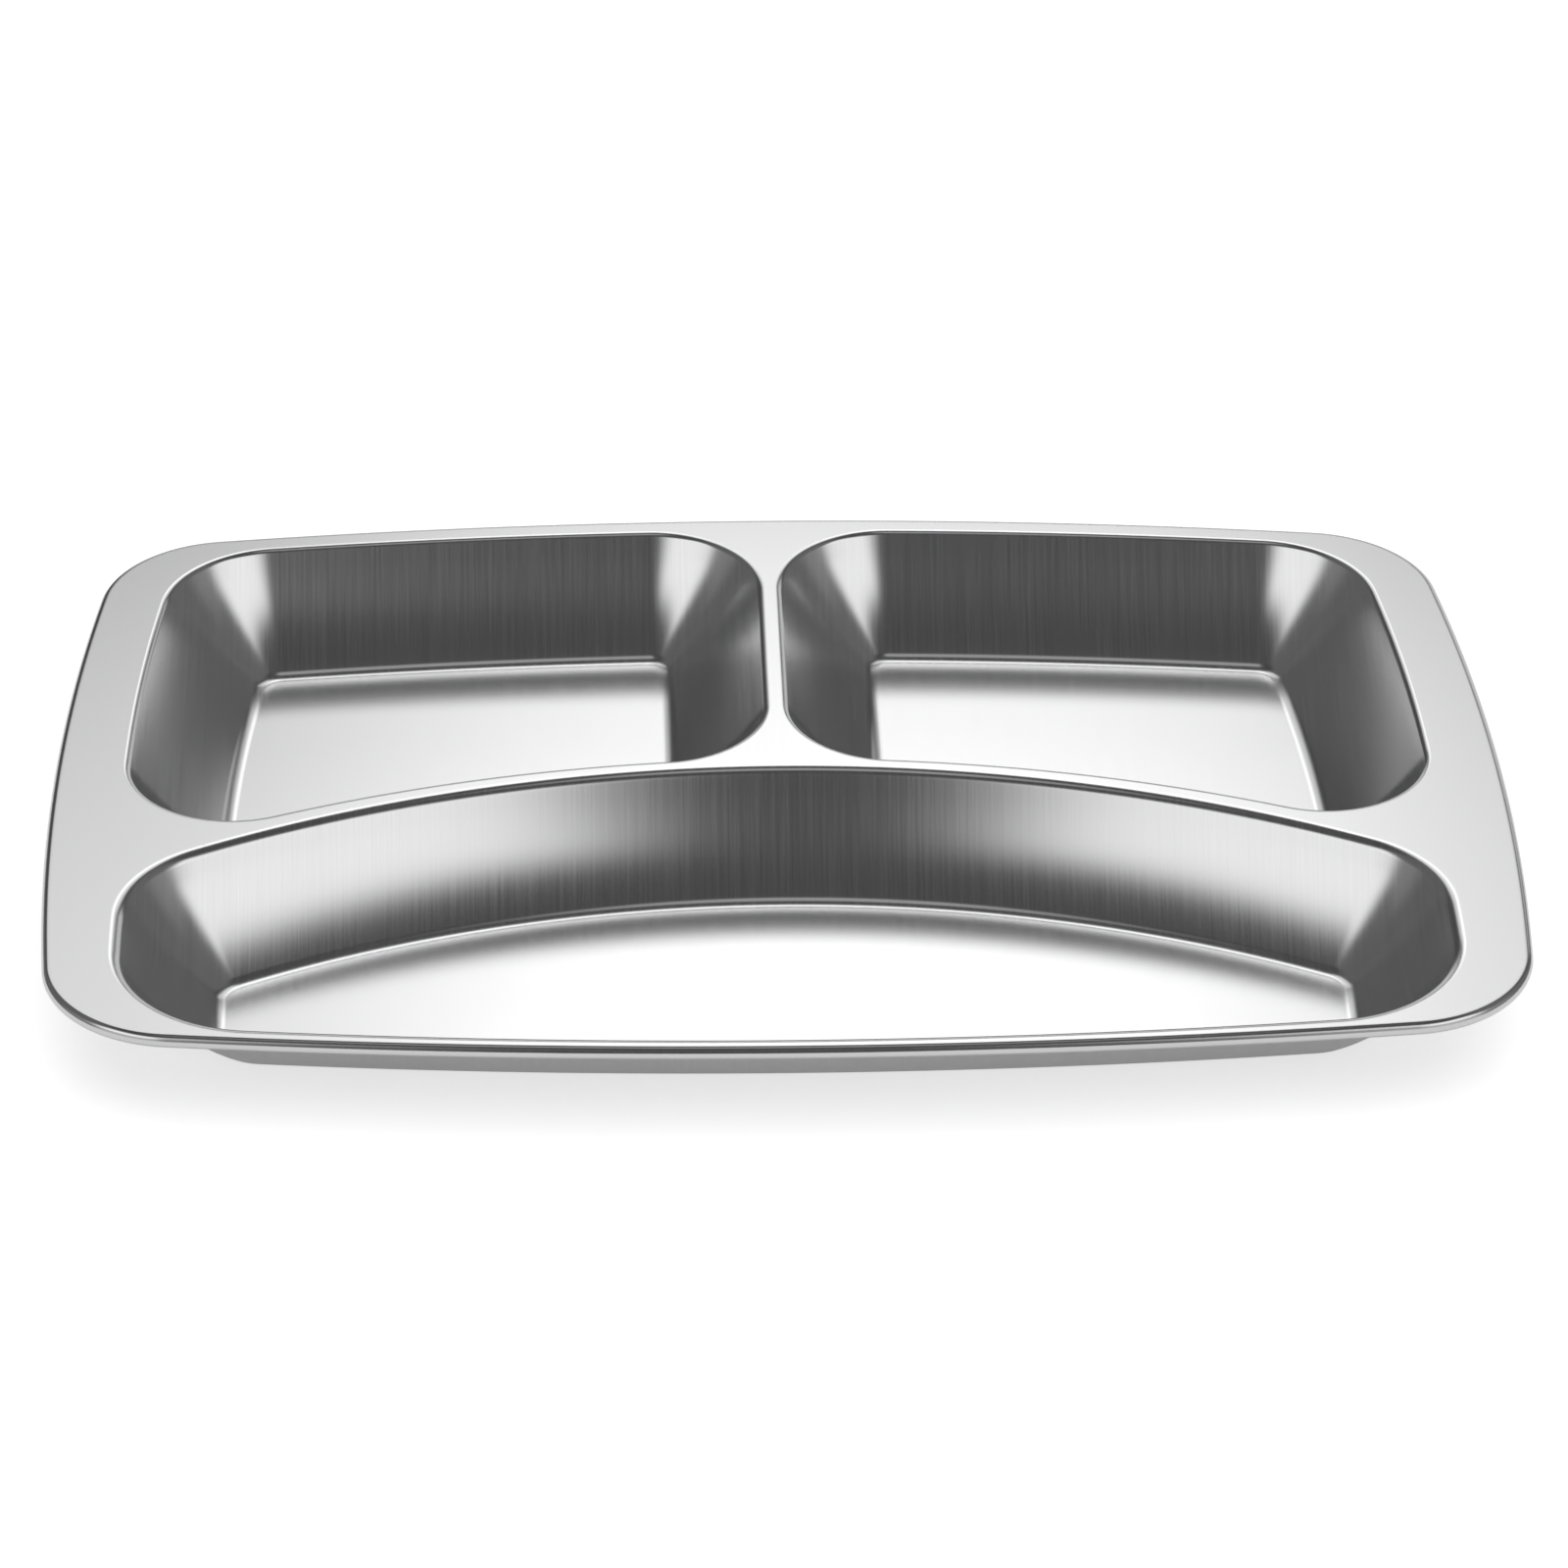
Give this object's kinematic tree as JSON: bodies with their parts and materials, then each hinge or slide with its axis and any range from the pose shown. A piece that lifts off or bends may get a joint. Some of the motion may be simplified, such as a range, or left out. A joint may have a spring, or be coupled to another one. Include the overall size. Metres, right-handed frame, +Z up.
{
  "type": "divided compartment plate",
  "caption": "Rectangular compartment plate pressed from steel sheet, with a long arched well in front, smaller wells behind it, flat land between them and a rolled rim.",
  "frame": {"origin": "middle of the rectangle that holds the plate, on the plane that the floors of the wells stand on", "axes": "+X across the plate to the right, +Y from the long arched well to the two back wells, +Z up out of the wells"},
  "size_m": [0.2998, 0.2059, 0.0215],
  "materials": {
    "deck_steel": "satin stainless steel, fine grain from front to back",
    "rim_steel": "satin stainless steel, buffed along the roll",
    "wall_steel": "drawn satin stainless steel with faint draw lines down the walls",
    "floor_steel": "satin stainless steel, fine grain from front to back"
  },
  "bodies": {
    "root": {"deck": "deck_steel", "rolled_rim": "rim_steel", "main_well_wall": "wall_steel", "main_well_floor": "floor_steel", "left_well_wall": "wall_steel", "left_well_floor": "floor_steel", "right_well_wall": "wall_steel", "right_well_floor": "floor_steel"}
  },
  "joints": []
}
